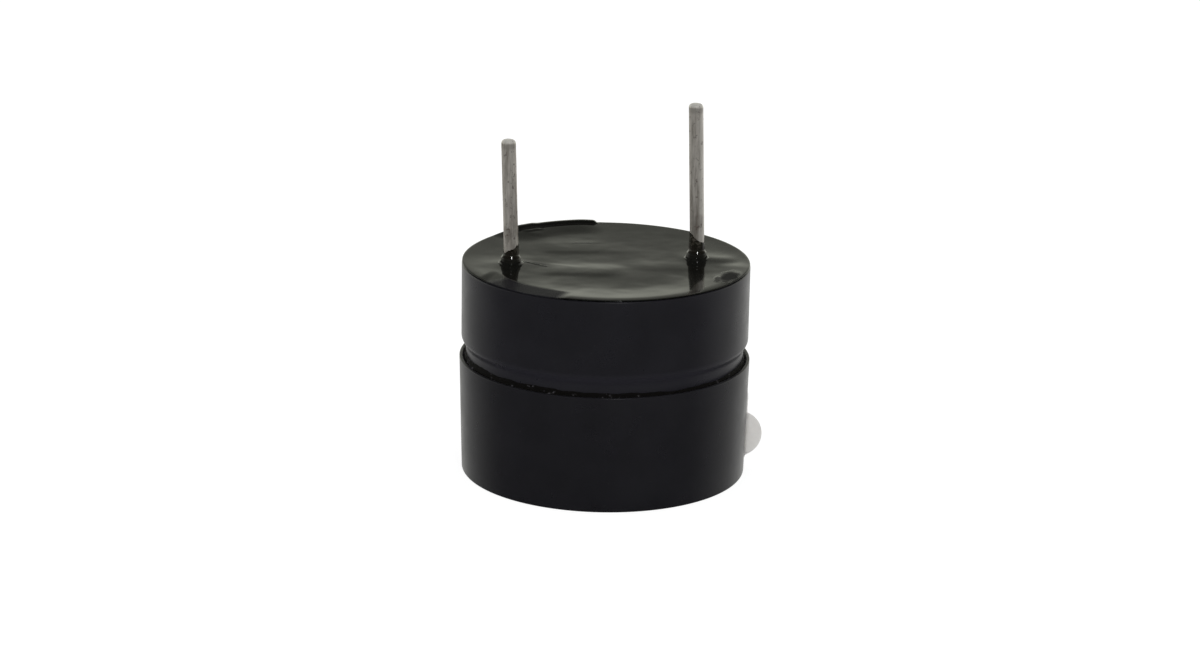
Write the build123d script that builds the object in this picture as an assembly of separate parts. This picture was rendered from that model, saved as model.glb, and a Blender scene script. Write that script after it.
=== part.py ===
"""Round 12 mm piezo buzzer with two wire terminals, resting on its sound face.

Sizes are in millimetres. Z rises from the sound face at 0, through the two
moulded cases and the potted back, to the tips of the pins. The pins stand on
the X axis, the longer positive one at +X.
"""
import math
import os

from build123d import *

# Terminal wires: tinned, on a 7.6 mm pitch. They stand upright in the board
# and the resin and lean a little towards -X above it. The positive one is
# cut longer than the negative one.
pin_pitch = 7.6
pin_diameter = 0.6
pin_lean = 1.9
pin_bend_radius = 3.0
pin_tip_rounding = 0.16
pin_foot_chamfer = 0.08
pin_tail_below_board = 0.55
positive_pin_rise = 6.45
negative_pin_rise = 5.12

# Front cap: a shallow drafted cup whose closed end is the sound face.
cap_face_radius = 5.86
cap_draft = 0.12
cap_rim_z = 4.935
cap_face_thickness = 0.8
cap_face_edge_rounding = 0.18
cap_wall = 0.46
cap_lip = 0.15
cap_mouth_depth = 0.385
cap_seat_width = 0.82
sound_chamber_depth = 1.75

# Rear case: a tube with a necked spigot that drops into the cap, and a ledge
# near its open back that carries the circuit board.
case_rim_z = 8.88
case_rim_rounding = 0.07
case_shoulder_height = 0.34
case_shoulder_bulge = 0.02
neck_step = 0.2
neck_height = 0.385
neck_taper_height = 0.4
neck_flare = 0.015
seam_gap = 0.13
neck_overlap = 0.035
spigot_clearance = 0.06
spigot_wall = 0.51
pocket_wall = 0.4
pocket_depth = 2.28
pin_relief = 0.35

# Adhesive squeezed into the seam between cap and case.
seam_adhesive_drop = 0.135
seam_adhesive_run = 0.4

# Circuit board and the copper printed on its sound side.
board_thickness = 0.6
board_edge_clearance = 0.08
board_hole_clearance = 0.15
copper_thickness = 0.035
pin_pad_ring = 0.4
lead_pad_radius = 0.5
lead_pad_inset = 1.5
track_width = 0.3
pad_overhang = 0.1

# Solder cone round each pin under the board.
pin_solder_height = 0.45
pin_solder_tip = 0.04

# Driver transistor in a small three-legged package.
transistor_length = 2.9
transistor_width = 1.3
transistor_height = 0.95
transistor_standoff = 0.05
transistor_edge_rounding = 0.06
transistor_y = 2.3
leg_width = 0.42
leg_thickness = 0.12
leg_reach = 0.55
leg_spacing = 0.95
leg_foot = 0.42

# Two chip resistors with plated ends.
resistor_length = 2.0
resistor_width = 1.25
resistor_height = 0.5
resistor_end_length = 0.35
resistor_plating = 0.03
resistor_x = 1.65
resistor_y = -1.9

# Boost coil on a small drum core, under the resin.
coil_x = -0.95
coil_y = -0.25
coil_flange_radius = 1.5
coil_flange_thickness = 0.3
coil_post_radius = 0.6
coil_winding_build = 0.68
coil_height = 1.35

# Piezo element: brass plate, ceramic disc and two silver electrodes.
plate_edge_clearance = 0.22
plate_thickness = 0.1
plate_bond = 0.05
plate_margin = 1.55
ceramic_thickness = 0.12
ceramic_margin = 0.35
electrode_thickness = 0.03
feedback_width = 1.3
feedback_length = 2.1
electrode_gap = 0.3

# Adhesive that holds the rim of the plate on the seat of the cap.
plate_adhesive_width = 0.47
plate_adhesive_depth = 0.25

# Fine wires from the element to the board and the solder dots at their ends.
lead_wire_radius = 0.13
dot_radius = 0.34
dot_height = 0.24
drive_angle = 130.0
drive_start_inset = 0.9
feedback_angle = -90.0
feedback_start_inset = 0.95
ground_angle = 44.0
lead_rise = 1.05

# Potting resin over the board, its climb up the pins, the low swell over the
# coil and the two places where it ran over the rim of the case.
resin_dish = 0.08
collar_spread = 0.32
collar_waist = 0.035
collar_skin = 0.018
collar_curve = 0.07
collar_curve_height = 0.126
collar_waist_height = 0.42
positive_collar_height = 1.05
negative_collar_height = 0.8
collar_root = 0.2
swell_end_margin = 0.45
swell_side_margin = 0.05
swell_height = 0.09
swell_rounding = 0.07
overflow_inset = 0.06
overflow_bead_radius = 0.24
overflow_sink = 0.11
back_overflow_from = 84.0
back_overflow_to = 118.0
front_overflow_from = 210.0
front_overflow_to = 244.0

# Side sound port through the cap wall.
port_angle = 20.0
port_diameter = 1.2

# Wash seal: a thin film over the port with a small round pull tab turned
# outwards at its front edge.
seal_thickness = 0.08
seal_width = 5.32
seal_height = 2.95
seal_corner = 0.5
tab_radius = 0.97
tab_sink = 0.215
tab_drop = 0.255

# Sizes that follow from the ones above.
pin_x = pin_pitch / 2
pin_radius = pin_diameter / 2
positive_tip_z = case_rim_z + positive_pin_rise
negative_tip_z = case_rim_z + negative_pin_rise
cap_rim_radius = cap_face_radius + cap_draft
cap_bore_radius = cap_rim_radius - cap_wall
cap_mouth_radius = cap_rim_radius - cap_lip
cap_cavity_radius = cap_bore_radius - cap_seat_width
cap_seat_z = cap_face_thickness + sound_chamber_depth
mouth_foot_z = cap_rim_z - cap_mouth_depth
plate_radius = cap_bore_radius - plate_edge_clearance
plate_z = cap_seat_z + plate_bond
plate_top_z = plate_z + plate_thickness
ceramic_radius = plate_radius - plate_margin
ceramic_top_z = plate_top_z + ceramic_thickness
electrode_radius = ceramic_radius - ceramic_margin
electrode_top_z = ceramic_top_z + electrode_thickness
plate_adhesive_inner_radius = cap_bore_radius - plate_adhesive_width
spigot_end_z = plate_top_z + plate_adhesive_depth
spigot_radius = cap_bore_radius - spigot_clearance
case_neck_radius = cap_mouth_radius - seam_gap
case_radius = case_neck_radius + neck_step
case_bore_radius = spigot_radius - spigot_wall
case_pocket_radius = case_radius - pocket_wall
case_neck_z = cap_rim_z + neck_height
case_shoulder_z = case_neck_z + case_shoulder_height
neck_foot_z = cap_rim_z - neck_overlap
spigot_shoulder_z = neck_foot_z - neck_taper_height
case_ledge_z = case_rim_z - pocket_depth
seam_adhesive_top_z = cap_rim_z - seam_adhesive_drop
seam_adhesive_foot_z = spigot_shoulder_z - seam_adhesive_run
board_top_z = case_ledge_z + board_thickness
board_radius = case_pocket_radius - board_edge_clearance
board_hole_radius = pin_radius + board_hole_clearance
pin_pad_radius = board_hole_radius + pin_pad_ring
copper_z = case_ledge_z - copper_thickness
coil_winding_radius = coil_post_radius + coil_winding_build
resin_z = case_rim_z - resin_dish
positive_lip_z = resin_z + positive_collar_height
negative_lip_z = resin_z + negative_collar_height
overflow_radius = (case_pocket_radius + case_radius) / 2 - overflow_inset
port_z = cap_face_thickness + sound_chamber_depth / 2
tab_z = port_z - tab_drop


def polar(radius, angle):
    """Point at a radius and an angle in degrees from +X."""
    return (radius * math.cos(math.radians(angle)), radius * math.sin(math.radians(angle)))


drive_start = polar(electrode_radius - drive_start_inset, drive_angle)
drive_end = polar(board_radius - lead_pad_inset, drive_angle)
feedback_start = polar(electrode_radius - feedback_start_inset, feedback_angle)
feedback_end = polar(board_radius - lead_pad_inset, feedback_angle)
ground_start = polar((ceramic_radius + plate_adhesive_inner_radius) / 2, ground_angle)
ground_end = polar(board_radius - lead_pad_inset, ground_angle)


def turned(points):
    """Solid of revolution about Z from (radius, height) corners."""
    outline = Polyline([(r, 0, z) for r, z in points], close=True)
    return revolve(make_face(outline), Axis.Z, 360)


def block(length, width, low_z, high_z, x=0.0, y=0.0):
    """Upright block centred on x, y between two heights."""
    return Pos(x, y, (low_z + high_z) / 2) * Box(length, width, high_z - low_z)


def disc(radius, low_z, high_z, x=0.0, y=0.0):
    """Upright cylinder centred on x, y between two heights."""
    return Pos(x, y, (low_z + high_z) / 2) * Cylinder(radius, high_z - low_z)


def cap_outer_radius(z):
    """Radius of the drafted outer wall of the cap at a height."""
    return cap_face_radius + (cap_rim_radius - cap_face_radius) * z / cap_rim_z


def mouth_radius(z):
    """Radius of the flared mouth of the cap at a height."""
    share = (z - mouth_foot_z) / cap_mouth_depth
    return cap_bore_radius + (cap_mouth_radius - cap_bore_radius) * share


def neck_taper_radius(z):
    """Radius of the case between its spigot and its neck at a height."""
    share = (z - spigot_shoulder_z) / (neck_foot_z - spigot_shoulder_z)
    return spigot_radius + (case_neck_radius - spigot_radius) * share


def front_cap():
    cup = turned([
        (0, 0),
        (cap_face_radius, 0),
        (cap_rim_radius, cap_rim_z),
        (cap_mouth_radius, cap_rim_z),
        (cap_bore_radius, mouth_foot_z),
        (cap_bore_radius, cap_seat_z),
        (cap_cavity_radius, cap_seat_z),
        (cap_cavity_radius, cap_face_thickness),
        (0, cap_face_thickness),
    ])
    face_edge = cup.edges().filter_by(GeomType.CIRCLE).sort_by(Axis.Z)[0]
    cup = fillet(face_edge, cap_face_edge_rounding)
    port = extrude(Circle(port_diameter / 2), 2 * cap_rim_radius)
    return cup - Pos(0, 0, port_z) * Rot(0, 0, port_angle) * Rot(0, 90, 0) * port


def rear_case():
    neck_top_radius = case_neck_radius + neck_flare
    middle_radius = (case_radius + neck_top_radius) / 2
    shoulder = ThreePointArc(
        (case_radius, 0, case_shoulder_z),
        (
            middle_radius + case_shoulder_bulge,
            0,
            (case_shoulder_z + case_neck_z) / 2 - case_shoulder_bulge,
        ),
        (neck_top_radius, 0, case_neck_z),
    )
    below = Polyline(
        (neck_top_radius, 0, case_neck_z),
        (case_neck_radius, 0, neck_foot_z),
        (spigot_radius, 0, spigot_shoulder_z),
        (spigot_radius, 0, spigot_end_z),
        (case_bore_radius, 0, spigot_end_z),
        (case_bore_radius, 0, case_ledge_z),
        (case_pocket_radius, 0, case_ledge_z),
        (case_pocket_radius, 0, case_rim_z),
        (case_radius - case_rim_rounding, 0, case_rim_z),
    )
    rim_bite = case_rim_rounding * (1 - math.sqrt(0.5))
    edge_round = ThreePointArc(
        (case_radius - case_rim_rounding, 0, case_rim_z),
        (case_radius - rim_bite, 0, case_rim_z - rim_bite),
        (case_radius, 0, case_rim_z - case_rim_rounding),
    )
    wall = Line((case_radius, 0, case_rim_z - case_rim_rounding), (case_radius, 0, case_shoulder_z))
    case = revolve(make_face([shoulder, below, edge_round, wall]), Axis.Z, 360)
    relief_z = copper_z - pin_solder_height - pin_relief
    for side in (pin_x, -pin_x):
        case = case - disc(pin_pad_radius + pin_relief, relief_z, case_ledge_z, side)
    return case


def joint_adhesive():
    return turned([
        (spigot_radius, seam_adhesive_foot_z),
        (cap_bore_radius, seam_adhesive_foot_z),
        (cap_bore_radius, mouth_foot_z),
        (mouth_radius(seam_adhesive_top_z), seam_adhesive_top_z),
        (neck_taper_radius(seam_adhesive_top_z), seam_adhesive_top_z),
        (spigot_radius, spigot_shoulder_z),
    ])


def pin(x, bend_z, tip_z):
    foot = Vector(x, 0, case_ledge_z - pin_tail_below_board)
    bend = Vector(x, 0, bend_z)
    tip = Vector(x - (tip_z - bend_z) * math.tan(math.radians(pin_lean)), 0, tip_z)
    path = FilletPolyline(foot, bend, tip, radius=pin_bend_radius)
    wire = sweep(Plane(origin=foot, z_dir=(0, 0, 1)) * Circle(pin_radius), path)
    tip_edge = wire.edges().filter_by(GeomType.CIRCLE).sort_by(Axis.Z)[-1]
    wire = fillet(tip_edge, pin_tip_rounding)
    foot_edge = wire.edges().filter_by(GeomType.CIRCLE).sort_by(Axis.Z)[0]
    return chamfer(foot_edge, pin_foot_chamfer)


def positive_pin():
    return pin(pin_x, positive_lip_z, positive_tip_z)


def negative_pin():
    return pin(-pin_x, negative_lip_z, negative_tip_z)


def circuit_board():
    board = disc(board_radius, case_ledge_z, board_top_z)
    for side in (pin_x, -pin_x):
        board = board - disc(board_hole_radius, case_ledge_z, board_top_z, side)
    return board


def track(start, end):
    """Straight copper track between two points on the board."""
    length = math.dist(start, end)
    angle = math.degrees(math.atan2(end[1] - start[1], end[0] - start[0]))
    strip = block(length, track_width, copper_z, case_ledge_z)
    return Pos((start[0] + end[0]) / 2, (start[1] + end[1]) / 2, 0) * Rot(0, 0, angle) * strip


def resistor_pad_x(side, end):
    """Centre of one end of one chip resistor, both signs given."""
    return side * resistor_x + end * (resistor_length - resistor_end_length) / 2


def leg_foot_y(row):
    """Centre line of the feet of the transistor legs on one side."""
    return transistor_y + row * (transistor_width / 2 + leg_reach - leg_foot / 2)


def leg_pad(x, row):
    """Copper pad under one transistor foot."""
    width = leg_width + 2 * pad_overhang
    length = leg_foot + 2 * pad_overhang
    return block(width, length, copper_z, case_ledge_z, x, leg_foot_y(row))


def resistor_pad(side, end):
    """Copper pad under one end of a chip resistor."""
    length = resistor_end_length + 2 * pad_overhang
    width = resistor_width + 2 * pad_overhang
    return block(length, width, copper_z, case_ledge_z, resistor_pad_x(side, end), resistor_y)


def board_copper():
    pads = []
    for side in (pin_x, -pin_x):
        pads.append(disc(pin_pad_radius, copper_z, case_ledge_z, side))
    for spot in (drive_end, feedback_end, ground_end):
        pads.append(disc(lead_pad_radius, copper_z, case_ledge_z, spot[0], spot[1]))
    for side in (-1, 1):
        for end in (-1, 1):
            pads.append(resistor_pad(side, end))
    pads.append(leg_pad(-leg_spacing, -1))
    pads.append(leg_pad(leg_spacing, -1))
    pads.append(leg_pad(0, 1))
    pads.append(track((pin_x, 0), (resistor_pad_x(1, 1), resistor_y)))
    pads.append(track((resistor_pad_x(1, -1), resistor_y), (resistor_pad_x(-1, 1), resistor_y)))
    pads.append(track((resistor_pad_x(-1, 1), resistor_y), feedback_end))
    pads.append(track((-pin_x, 0), (-leg_spacing, leg_foot_y(-1))))
    pads.append(track((0, leg_foot_y(1)), (drive_end[0], leg_foot_y(1))))
    pads.append(track((leg_spacing, leg_foot_y(-1)), (resistor_pad_x(1, -1), resistor_y)))
    pads.append(track((pin_x, 0), ground_end))
    copper = pads[0]
    for piece in pads[1:]:
        copper = copper + piece
    for side in (pin_x, -pin_x):
        copper = copper - disc(board_hole_radius, copper_z, case_ledge_z, side)
    return copper


def pin_solder(x):
    """Solder cone under the board and the solder that fills the hole."""
    foot_z = copper_z - pin_solder_height
    cone = Cone(pin_radius + pin_solder_tip, pin_pad_radius, pin_solder_height)
    cone = Pos(x, 0, (foot_z + copper_z) / 2) * cone
    barrel = disc(board_hole_radius, copper_z, board_top_z, x)
    return cone + barrel - disc(pin_radius, foot_z, board_top_z, x)


def driver_transistor():
    top_z = copper_z - transistor_standoff
    body = block(transistor_length, transistor_width, top_z - transistor_height, top_z, 0, transistor_y)
    return fillet(body.edges().filter_by(Axis.Z), transistor_edge_rounding)


def transistor_leg(x, row):
    """One gull-wing leg from the side of the body down to its pad."""
    side_y = transistor_y + row * transistor_width / 2
    shoulder_z = copper_z - transistor_standoff - transistor_height / 2
    foot_y = leg_foot_y(row)
    riser_y = side_y + row * (leg_reach - leg_foot - leg_thickness / 2)
    arm_length = abs(riser_y - side_y) + leg_thickness / 2
    arm = block(
        leg_width,
        arm_length,
        shoulder_z - leg_thickness / 2,
        shoulder_z + leg_thickness / 2,
        x,
        side_y + row * arm_length / 2,
    )
    riser = block(leg_width, leg_thickness, shoulder_z - leg_thickness / 2, copper_z, x, riser_y)
    foot = block(leg_width, leg_foot, copper_z - leg_thickness, copper_z, x, foot_y)
    return arm + riser + foot


def transistor_legs():
    pair = transistor_leg(-leg_spacing, -1) + transistor_leg(leg_spacing, -1)
    return pair + transistor_leg(0, 1)


def resistor_body(side):
    top_z = copper_z - resistor_plating
    return block(
        resistor_length - 2 * resistor_plating,
        resistor_width - 2 * resistor_plating,
        top_z - resistor_height,
        top_z,
        side * resistor_x,
        resistor_y,
    )


def resistor_ends(side):
    low_z = copper_z - resistor_height - 2 * resistor_plating
    ends = []
    for end in (-1, 1):
        ends.append(block(
            resistor_end_length,
            resistor_width,
            low_z,
            copper_z,
            resistor_pad_x(side, end),
            resistor_y,
        ))
    return ends[0] + ends[1] - resistor_body(side)


def boost_coil_core():
    foot = disc(coil_flange_radius, board_top_z, board_top_z + coil_flange_thickness, coil_x, coil_y)
    post = disc(coil_post_radius, board_top_z, board_top_z + coil_height, coil_x, coil_y)
    head_z = board_top_z + coil_height
    head = disc(coil_flange_radius, head_z - coil_flange_thickness, head_z, coil_x, coil_y)
    return foot + post + head


def boost_coil_winding():
    low_z = board_top_z + coil_flange_thickness
    high_z = board_top_z + coil_height - coil_flange_thickness
    ring = disc(coil_winding_radius, low_z, high_z, coil_x, coil_y)
    return ring - disc(coil_post_radius, low_z, high_z, coil_x, coil_y)


def piezo_plate():
    return disc(plate_radius, plate_z, plate_top_z)


def piezo_ceramic():
    return disc(ceramic_radius, plate_top_z, ceramic_top_z)


def feedback_tongue(margin):
    """Round-ended tongue that reaches in from the edge on the -Y side."""
    radius = feedback_width / 2 + margin
    end_y = -electrode_radius + feedback_length - feedback_width / 2
    reach = ceramic_radius + end_y
    strip = block(2 * radius, reach, ceramic_top_z, electrode_top_z, 0, end_y - reach / 2)
    return strip + disc(radius, ceramic_top_z, electrode_top_z, 0, end_y)


def main_electrode():
    return disc(electrode_radius, ceramic_top_z, electrode_top_z) - feedback_tongue(electrode_gap)


def feedback_electrode():
    return disc(electrode_radius, ceramic_top_z, electrode_top_z) & feedback_tongue(0)


def diaphragm_adhesive():
    return turned([
        (cap_cavity_radius, cap_seat_z),
        (cap_bore_radius, cap_seat_z),
        (cap_bore_radius, spigot_end_z),
        (plate_adhesive_inner_radius, spigot_end_z),
        (plate_adhesive_inner_radius, plate_top_z),
        (plate_radius, plate_top_z),
        (plate_radius, plate_z),
        (cap_cavity_radius, plate_z),
    ])


def lead(start, start_z, end):
    """Fine wire that rises from the element, crosses and rises to the board."""
    low_z = start_z + lead_wire_radius
    route = [
        Vector(start[0], start[1], low_z),
        Vector(start[0], start[1], low_z + lead_rise),
        Vector(end[0], end[1], copper_z - lead_rise),
        Vector(end[0], end[1], copper_z),
    ]
    bends = []
    for before, corner, after in zip(route, route[1:], route[2:]):
        run = min((corner - before).length, (after - corner).length)
        turn = math.radians((corner - before).get_angle(after - corner))
        bends.append(0.45 * run / math.tan(turn / 2))
    path = FilletPolyline(*route, radius=bends)
    section = Plane(origin=route[0], z_dir=(0, 0, 1)) * Circle(lead_wire_radius)
    return sweep(section, path)


def dot(spot, z, direction):
    """Low dome of solder on a surface, rising or hanging."""
    ball_radius = (dot_radius ** 2 + dot_height ** 2) / (2 * dot_height)
    ball = Pos(spot[0], spot[1], z + direction * (dot_height - ball_radius)) * Sphere(ball_radius)
    if direction > 0:
        return ball & disc(dot_radius, z, z + dot_height, spot[0], spot[1])
    return ball & disc(dot_radius, z - dot_height, z, spot[0], spot[1])


def drive_lead():
    return lead(drive_start, electrode_top_z, drive_end)


def feedback_lead():
    return lead(feedback_start, electrode_top_z, feedback_end)


def ground_lead():
    return lead(ground_start, plate_top_z, ground_end)


def element_solder():
    drive = dot(drive_start, electrode_top_z, 1) - drive_lead()
    feedback = dot(feedback_start, electrode_top_z, 1) - feedback_lead()
    ground = dot(ground_start, plate_top_z, 1) - ground_lead()
    return Compound([drive.solid(), feedback.solid(), ground.solid()])


def board_lead_solder():
    drive = dot(drive_end, copper_z, -1) - drive_lead()
    feedback = dot(feedback_end, copper_z, -1) - feedback_lead()
    ground = dot(ground_end, copper_z, -1) - ground_lead()
    return Compound([drive.solid(), feedback.solid(), ground.solid()])


def collar(x, lip_z):
    """Resin drawn up a pin: a concave flare that thins to a skin."""
    foot_radius = pin_radius + collar_spread
    waist_radius = pin_radius + collar_waist
    waist_z = resin_z + collar_waist_height
    flare = ThreePointArc(
        (foot_radius, 0, resin_z),
        (waist_radius + collar_curve, 0, resin_z + collar_curve_height),
        (waist_radius, 0, waist_z),
    )
    rest = Polyline(
        (waist_radius, 0, waist_z),
        (pin_radius + collar_skin, 0, lip_z),
        (0, 0, lip_z),
        (0, 0, resin_z - collar_root),
        (foot_radius, 0, resin_z - collar_root),
        (foot_radius, 0, resin_z),
    )
    return Pos(x, 0, 0) * revolve(make_face([flare, rest]), Axis.Z, 360)


def overflow(start_angle, end_angle):
    """Rounded bead of resin over the rim between two angles."""
    centre_z = case_rim_z - overflow_sink
    section = Pos(overflow_radius, 0, centre_z) * Rot(90, 0, 0) * Circle(overflow_bead_radius)
    bead = Rot(0, 0, start_angle) * revolve(section, Axis.Z, end_angle - start_angle)
    for angle in (start_angle, end_angle):
        x, y = polar(overflow_radius, angle)
        bead = bead + Pos(x, y, centre_z) * Sphere(overflow_bead_radius)
    return bead - rear_case()


def swell():
    """Low dome in the resin over the coil."""
    half_length = coil_flange_radius + swell_end_margin
    half_width = coil_flange_radius + swell_side_margin
    dome = extrude(Ellipse(half_length, half_width), swell_height)
    dome = fillet(dome.edges().sort_by(Axis.Z)[-1], swell_rounding)
    return Pos(coil_x, coil_y, resin_z) * dome


def potting_resin():
    resin = disc(case_pocket_radius, board_top_z, resin_z) + swell()
    resin = resin + collar(pin_x, positive_lip_z)
    resin = resin + collar(-pin_x, negative_lip_z)
    resin = resin + overflow(back_overflow_from, back_overflow_to)
    resin = resin + overflow(front_overflow_from, front_overflow_to)
    resin = resin - positive_pin() - negative_pin()
    return resin - boost_coil_core() - boost_coil_winding()


def wash_seal_patch():
    """Film laid on the drafted wall, cut to a rounded rectangle over the port."""
    low_z = port_z - seal_height / 2
    high_z = port_z + seal_height / 2
    skin = turned([
        (cap_outer_radius(low_z), low_z),
        (cap_outer_radius(low_z) + seal_thickness, low_z),
        (cap_outer_radius(high_z) + seal_thickness, high_z),
        (cap_outer_radius(high_z), high_z),
    ])
    outline = extrude(RectangleRounded(seal_height, seal_width, seal_corner), 2 * cap_rim_radius)
    return skin & (Pos(0, 0, port_z) * Rot(0, 0, port_angle) * Rot(0, 90, 0) * outline)


def wash_seal():
    wall_radius = cap_outer_radius(tab_z)
    edge_angle = math.degrees(math.asin(seal_width / 2 / (wall_radius + seal_thickness)))
    disc_face = Pos(-tab_sink, 0) * Circle(tab_radius)
    free_side = Pos(tab_radius + seal_thickness / 2, 0) * Rectangle(2 * tab_radius, 2 * tab_radius)
    tab = extrude(disc_face & free_side, -seal_thickness)
    tab = Rot(0, 0, port_angle - edge_angle) * Pos(wall_radius, 0, tab_z) * Rot(90, 0, 0) * tab
    return wash_seal_patch() + tab


NODES = {
    "front_cap": front_cap(),
    "rear_case": rear_case(),
    "joint_adhesive": joint_adhesive(),
    "potting_resin": potting_resin(),
    "positive_pin": positive_pin(),
    "negative_pin": negative_pin(),
    "circuit_board": circuit_board(),
    "board_copper": board_copper(),
    "positive_pin_solder": pin_solder(pin_x),
    "negative_pin_solder": pin_solder(-pin_x),
    "driver_transistor": driver_transistor(),
    "transistor_legs": transistor_legs(),
    "base_resistor": resistor_body(-1),
    "base_resistor_ends": resistor_ends(-1),
    "feedback_resistor": resistor_body(1),
    "feedback_resistor_ends": resistor_ends(1),
    "boost_coil_core": boost_coil_core(),
    "boost_coil_winding": boost_coil_winding(),
    "piezo_plate": piezo_plate(),
    "piezo_ceramic": piezo_ceramic(),
    "main_electrode": main_electrode(),
    "feedback_electrode": feedback_electrode(),
    "diaphragm_adhesive": diaphragm_adhesive(),
    "drive_lead": drive_lead(),
    "feedback_lead": feedback_lead(),
    "ground_lead": ground_lead(),
    "element_solder": element_solder(),
    "board_lead_solder": board_lead_solder(),
    "wash_seal": wash_seal(),
}

os.makedirs("parts", exist_ok=True)
for name, shape in NODES.items():
    export_step(shape, "parts/" + name + ".step")
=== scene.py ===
"""Looks of a round 12 mm piezo buzzer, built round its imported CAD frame."""
import math

import bmesh
import bpy
from mathutils import Matrix, Vector, noise
from mathutils.geometry import delaunay_2d_cdt


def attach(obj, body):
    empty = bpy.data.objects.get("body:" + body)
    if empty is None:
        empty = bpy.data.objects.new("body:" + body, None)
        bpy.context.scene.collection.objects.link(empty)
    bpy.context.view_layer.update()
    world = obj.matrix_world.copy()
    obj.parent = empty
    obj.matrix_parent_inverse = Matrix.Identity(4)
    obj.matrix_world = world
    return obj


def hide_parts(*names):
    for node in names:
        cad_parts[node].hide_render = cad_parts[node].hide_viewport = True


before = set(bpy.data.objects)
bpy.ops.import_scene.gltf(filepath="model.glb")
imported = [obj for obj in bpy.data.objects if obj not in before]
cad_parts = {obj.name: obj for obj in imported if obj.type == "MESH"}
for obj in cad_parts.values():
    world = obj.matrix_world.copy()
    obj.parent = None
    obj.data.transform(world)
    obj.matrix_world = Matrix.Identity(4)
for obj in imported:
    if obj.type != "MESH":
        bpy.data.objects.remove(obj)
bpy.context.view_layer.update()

# ---- Front cap
# A shallow drafted cup injection moulded in black plastic. Its closed end is
# the sound face, with the moulding gate sunk in the middle, and a sound port
# goes through the wall under the wash seal.
MM = 0.001
AROUND = 288
PORT_AZIMUTH = 20.0
PORT_HEIGHT = 1.675
PORT_RADIUS = 0.6


def arc(centre, radius, start, end, steps=6):
    """(radius, height) points of an arc in the profile, angles in degrees."""
    points = []
    for step in range(steps + 1):
        angle = math.radians(start + (end - start) * step / steps)
        points.append((centre[0] + radius * math.cos(angle), centre[1] + radius * math.sin(angle)))
    return points


def mesh_object(name, bm, crease=32.0):
    """Object from a bmesh in millimetres, smooth but for edges over the crease."""
    bmesh.ops.recalc_face_normals(bm, faces=bm.faces)
    bmesh.ops.scale(bm, vec=(MM, MM, MM), verts=bm.verts)
    mesh = bpy.data.meshes.new(name)
    bm.to_mesh(mesh)
    bm.free()
    for face in mesh.polygons:
        face.use_smooth = True
    mesh.set_sharp_from_angle(angle=math.radians(crease))
    piece = bpy.data.objects.new(name, mesh)
    bpy.context.scene.collection.objects.link(piece)
    return piece


def ring(bm, radius, height, x=0.0, y=0.0, count=AROUND):
    """Level ring of vertices."""
    corners = []
    for step in range(count):
        angle = math.tau * step / count
        spot = (x + radius * math.cos(angle), y + radius * math.sin(angle), height)
        corners.append(bm.verts.new(spot))
    return corners


def band(bm, lower, upper):
    """Faces between two closed rings of the same count."""
    count = len(lower)
    for step in range(count):
        after = (step + 1) % count
        bm.faces.new((lower[step], lower[after], upper[after], upper[step]))


def turned(name, profile):
    """Lathe-turned piece. A profile that meets the axis is capped there."""
    bm = bmesh.new()
    open_ends = profile[0][0] == 0 and profile[-1][0] == 0
    rings = [ring(bm, radius, height) for radius, height in profile if radius > 0]
    for lower, upper in zip(rings, rings[1:]):
        band(bm, lower, upper)
    if open_ends:
        for loop, height in ((rings[0], profile[0][1]), (rings[-1], profile[-1][1])):
            hub = bm.verts.new((0, 0, height))
            for step in range(AROUND):
                bm.faces.new((loop[step], loop[(step + 1) % AROUND], hub))
    else:
        band(bm, rings[-1], rings[0])
    return mesh_object(name, bm)


def cut_round(piece, radius, length, spot, turn):
    """Takes a round hole out of a piece, along the turned Z axis."""
    bm = bmesh.new()
    bmesh.ops.create_cone(
        bm, cap_ends=True, segments=64, radius1=radius, radius2=radius, depth=length,
        matrix=Matrix.Translation(spot) @ turn,
    )
    tool = mesh_object("hole_tool", bm)
    boolean = piece.modifiers.new("hole", "BOOLEAN")
    boolean.operation = "DIFFERENCE"
    boolean.solver = "EXACT"
    boolean.object = tool
    solid = bpy.data.meshes.new_from_object(
        piece.evaluated_get(bpy.context.evaluated_depsgraph_get())
    )
    piece.modifiers.remove(boolean)
    piece.data = solid
    solid.set_sharp_from_angle(angle=math.radians(32))
    bpy.data.objects.remove(tool)


cap_profile = (
    [(0, 0.05), (0.5, 0.05), (0.58, 0.0)]
    + [(radius, 0.0) for radius in (1.5, 3.0, 4.5)]
    + arc((5.808, 0.05), 0.05, -90, -1.4, 6)
    + [(5.888, 1.2), (5.918, 2.4), (5.947, 3.6)]
    + arc((5.936, 4.785), 0.04, 0, 90, 5)
    + arc((5.875, 4.795), 0.03, 90, 140, 4)
    + [(5.52, 4.55), (5.52, 2.55), (4.7, 2.55), (4.7, 0.8), (0, 0.8)]
)
front_cap = turned("moulded_front_cap", cap_profile)
azimuth = math.radians(PORT_AZIMUTH)
port_spot = (5.3 * math.cos(azimuth), 5.3 * math.sin(azimuth), PORT_HEIGHT)
port_turn = Matrix.Rotation(azimuth, 4, "Z") @ Matrix.Rotation(math.radians(90), 4, "Y")
cut_round(front_cap, PORT_RADIUS, 2.0, port_spot, port_turn)


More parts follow.
